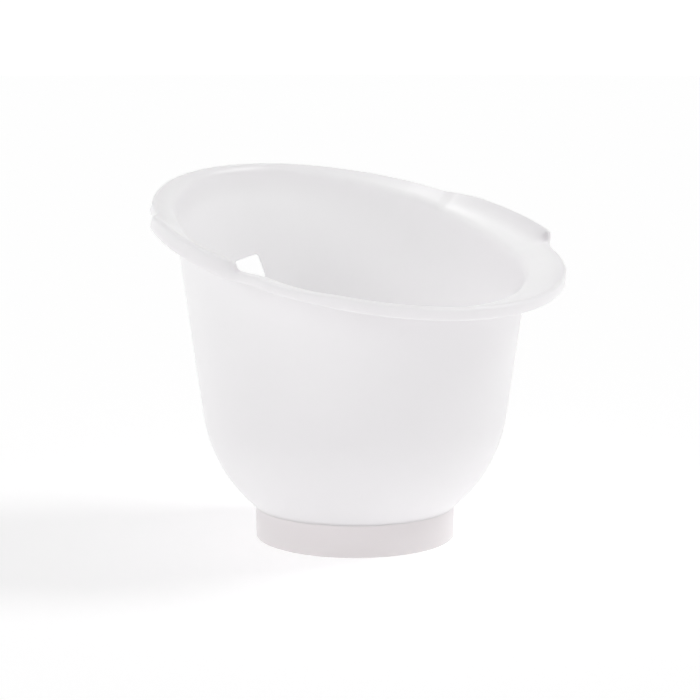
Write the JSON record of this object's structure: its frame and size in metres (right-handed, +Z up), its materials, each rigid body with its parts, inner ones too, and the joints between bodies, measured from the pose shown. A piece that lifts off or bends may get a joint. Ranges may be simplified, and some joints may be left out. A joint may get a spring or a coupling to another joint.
{
  "type": "baby bathtub",
  "caption": "Free-standing upright baby bath bucket of translucent white plastic, with a leaning lipped rim, side grips, a finger hole in the high back and a round foot ring.",
  "frame": {"origin": "on the floor, below the centre of the rim", "axes": "+Z up, -Y towards the low front of the rim, +X to the right as seen from the front"},
  "size_m": [0.474, 0.4497, 0.4058],
  "materials": {
    "tub_plastic": "translucent white polypropylene, smooth satin gloss",
    "foot_plastic": "translucent white polypropylene, smooth satin gloss",
    "pad_rubber": "soft matt thermoplastic rubber"
  },
  "bodies": {
    "root": {"tub_body": "tub_plastic", "foot_ring": "foot_plastic", "non_slip_pad_1": "pad_rubber", "non_slip_pad_2": "pad_rubber", "non_slip_pad_3": "pad_rubber", "non_slip_pad_4": "pad_rubber", "non_slip_pad_5": "pad_rubber", "non_slip_pad_6": "pad_rubber"}
  },
  "joints": []
}
